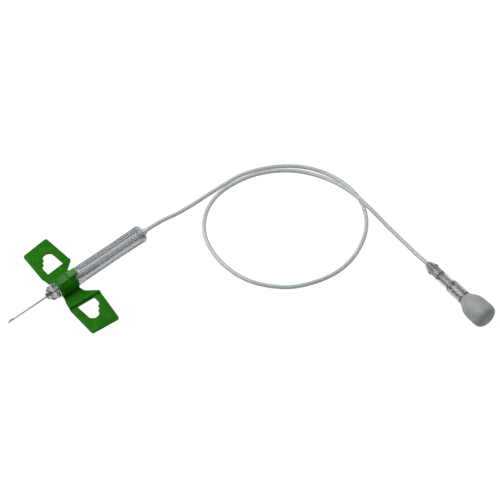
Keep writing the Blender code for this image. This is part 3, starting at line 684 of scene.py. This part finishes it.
def make_connector(mat):
    """The Luer connector, with a round nose for the tubing and fins along its waist."""
    profile = moulded(luer_profile())
    fins, fins_start, fins_end = 6, 8.3, 14.1

    def radius_at(index, radius, angle):
        if fins_start < profile[index][0] < fins_end and radius > LUER_WAIST_R + 0.5:
            share = min(1.0, max(0.0, (cos(fins * angle) + 0.3) / 0.7))
            return LUER_WAIST_R + (radius - LUER_WAIST_R) * share
        return radius

    moulding = turned(profile, SIDES_RIBBED, radius_at)
    piece = add_piece("luer_moulding", moulding, mat, on_connector())
    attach(piece, "needle")
    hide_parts("luer_connector")
    return piece


def make_luer_cap(mat):
    """The cap: a bulb with a flat dome, and a hollow plug in the connector's socket."""
    start, length, widest, dome_length, shoulder_length = LUER_END + SEAT_GAP, 13.5, 5.15, 3.9, 5.2
    squareness, dome_steps = 0.6, 24
    plug_tip, core_end = start - 6.0, start + 4.0
    shoulder, dome = start + shoulder_length, start + length - dome_length
    knots = [
        (start, 2.75), (start + 0.5, 2.95), (shoulder - 3.4, widest - 1.55),
        (shoulder - 2.0, widest - 0.75), (shoulder, widest - 0.2), (dome - 1.0, widest),
    ]
    outside = [(p.x, p.y) for p in smooth_curve([(x, r, 0.0) for x, r in knots], 0.4)]
    outside += [(dome + dome_length * sin(t) ** squareness, widest * cos(t) ** squareness)
                for t in (pi / 2 * k / dome_steps for k in range(dome_steps))]
    inside = [(core_end, 0.0), (core_end, 1.0), (plug_tip, 1.3), (plug_tip, 1.67),
              (plug_tip + 0.15, 1.82), (start, 2.0)]
    profile = outside + [(dome + dome_length, 0.0)] + inside
    piece = add_piece("luer_cap_bulb", turned(profile), mat, on_connector())
    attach(piece, "cap")
    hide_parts("luer_cap")
    return piece


def tube_path():
    """Points along the tubing's middle, from the hub to its seat in the connector."""
    entry = on_connector()
    end = entry @ Vector((LUER_TUBE_SEAT - SEAT_GAP, 0, 0))
    mouth = entry @ Vector((-1.5, 0, 0))
    start = TUBE_START + NOSE_X
    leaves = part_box("barrel_end_cap")[1].x / MM - 1
    straight = [(start, 0, AXIS_Z), ((start + leaves) / 2, 0, AXIS_Z), (leaves, 0, AXIS_Z)]
    points = smooth_curve(straight + TUBE_ROUTE + [tuple(mouth), tuple(end)], TUBE_STEP)
    for point in points:
        point.z = max(point.z, TUBE_R)
    return points


def make_tubing(mat):
    """A hollow tube along the route: outer wall, bore and two ring-shaped ends."""
    points = tube_path()
    sides = SIDES_TUBE
    bm = bmesh.new()
    rings = []
    side = Vector((0, 1, 0))
    for index, point in enumerate(points):
        ahead = points[min(index + 1, len(points) - 1)] - points[max(index - 1, 0)]
        ahead.normalize()
        side = (side - ahead * side.dot(ahead)).normalized()
        up = ahead.cross(side)
        angles = [2 * pi * k / sides for k in range(sides)]
        spokes = [side * cos(angle) + up * sin(angle) for angle in angles]
        rings.append([[bm.verts.new(point + spoke * r) for spoke in spokes]
                      for r in (TUBE_R, TUBE_BORE_R)])
    for a, b in zip(rings, rings[1:]):
        for wall in (0, 1):
            for k in range(sides):
                n = (k + 1) % sides
                bm.faces.new([a[wall][k], a[wall][n], b[wall][n], b[wall][k]])
    for ring in (rings[0], rings[-1]):
        for k in range(sides):
            n = (k + 1) % sides
            bm.faces.new([ring[0][k], ring[0][n], ring[1][n], ring[1][k]])
    piece = add_piece("tubing_hose", bm, mat)
    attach(piece, "needle")
    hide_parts("tubing")
    return piece, points


def make_floor():
    """A sweep that is white to the eye and in glass, and grey to the light that it throws back."""
    bm = bmesh.new()
    bmesh.ops.create_grid(bm, x_segments=1, y_segments=1, size=FLOOR_HALF_WIDTH)
    mat, tree, shader = new_material("white_sweep", Base_Color=linear("c8c8c8"), Roughness=0.9)
    rays = add_node(tree, "ShaderNodeLightPath")
    glow = add_node(tree, "ShaderNodeEmission", Strength=FLOOR_GLOW)
    seen = rays.outputs["Is Camera Ray"]
    for kind in ("Is Glossy Ray", "Is Transmission Ray"):
        seen = add_node(tree, "ShaderNodeMath", {0: seen, 1: rays.outputs[kind]},
                        operation="MAXIMUM").outputs[0]
    share = add_node(tree, "ShaderNodeMath", {0: seen}, operation="MULTIPLY")
    share.inputs[1].default_value = FLOOR_GLOW_SHARE
    mix = add_node(tree, "ShaderNodeMixShader", {0: share.outputs[0], 1: shader.outputs[0],
                                                 2: glow.outputs[0]})
    tree.links.new(mix.outputs[0], tree.nodes["Material Output"].inputs["Surface"])
    floor = add_piece("table_top", bm, mat, Matrix.Translation((0, 0, -FLOOR_DROP)))


def make_light():
    """A room that is pale above and dark low down, white to the eye, and one large soft lamp."""
    world = bpy.data.worlds.new("soft_room")
    bpy.context.scene.world = world
    world.use_nodes = True
    tree = world.node_tree
    back = tree.nodes["Background"]
    place = add_node(tree, "ShaderNodeTexCoord")
    height = add_node(tree, "ShaderNodeVectorMath", {0: place.outputs["Generated"]},
                      operation="DOT_PRODUCT")
    height.inputs[1].default_value = ROOM_BRIGHT_SIDE
    ramp = add_node(tree, "ShaderNodeValToRGB", {"Fac": height.outputs["Value"]})
    for stop, (place_on_ramp, code) in zip(ramp.color_ramp.elements,
                                           ((0.25, "282c2e"), (0.95, "e4e7ea"))):
        stop.position, stop.color = place_on_ramp, linear(code)
    rays = add_node(tree, "ShaderNodeLightPath")
    shown = add_node(tree, "ShaderNodeMix", {0: rays.outputs["Is Camera Ray"],
                                             6: ramp.outputs["Color"]}, data_type="RGBA")
    shown.inputs[7].default_value = (1, 1, 1, 1)
    tree.links.new(shown.outputs[2], back.inputs["Color"])
    back.inputs["Strength"].default_value = ROOM_STRENGTH

    data = bpy.data.lights.new("top_softbox", "AREA")
    data.size = LAMP_SIZE * MM
    data.energy = LAMP_POWER
    lamp = bpy.data.objects.new("top_softbox", data)
    lamp.location = Vector(LAMP_PLACE) * MM
    aim = Vector(LAMP_AIM) * MM - lamp.location
    lamp.rotation_euler = aim.to_track_quat("-Z", "Y").to_euler()
    bpy.context.scene.collection.objects.link(lamp)


make_camera()

# Extruded vinyl: pale grey and milky, with a glossy skin
tube, path = make_tubing(clear_plastic(
    "clear_vinyl_tubing", tint="dee3e3", ior=1.53, roughness=0.05, clarity=0.3,
    depth_tint="8c9498", absorbs=500.0))
# Moulded styrene: quite clear, full of small bright and dark glints
connector = make_connector(clear_plastic(
    "clear_connector_styrene", tint="dcdfe1", ior=1.585, roughness=0.01, clarity=1.0,
    depth_tint="80888c", absorbs=350.0))
cap = make_luer_cap(frosted())

make_cannula(steel(), ground_steel())
# Moulded acrylic: milky, so the hub and the end cap show as pale grey bodies
milky = clear_plastic("milky_acrylic", tint="e6e8ea", ior=1.49, roughness=0.05, clarity=0.1,
                      depth_tint="8c9498", absorbs=300.0)
make_hub(milky)
# Moulded polycarbonate of the grip: clear with a faint haze, grey along its edges
grip = clear_plastic("clear_polycarbonate", tint="e6e9eb", ior=1.5, roughness=0.01, clarity=0.94,
                     depth_tint="8c9498", absorbs=230.0)
# Polished polycarbonate of the nose: quite clear, with strong glints
nose = clear_plastic("bright_polycarbonate", tint="e6e6ea", ior=1.585, roughness=0.01, clarity=1.0,
                     depth_tint="8c9498", absorbs=100.0)
# Rough, milky polycarbonate on the ridge tops of the grip's ribs, tinted dark grey: painted shade,
# seen as dark lines along the barrel
crest_shade = clear_plastic("crest_polycarbonate_painted_shade", tint="50565a", ior=1.585, roughness=0.4,
                       clarity=0.15, depth_tint="8c9498", absorbs=300.0)
make_barrel(grip, nose, crest_shade)
make_end_cap(milky)
make_wing_clip(green_vinyl())
make_floor()
make_light()

bpy.context.scene.view_settings.view_transform = "Standard"
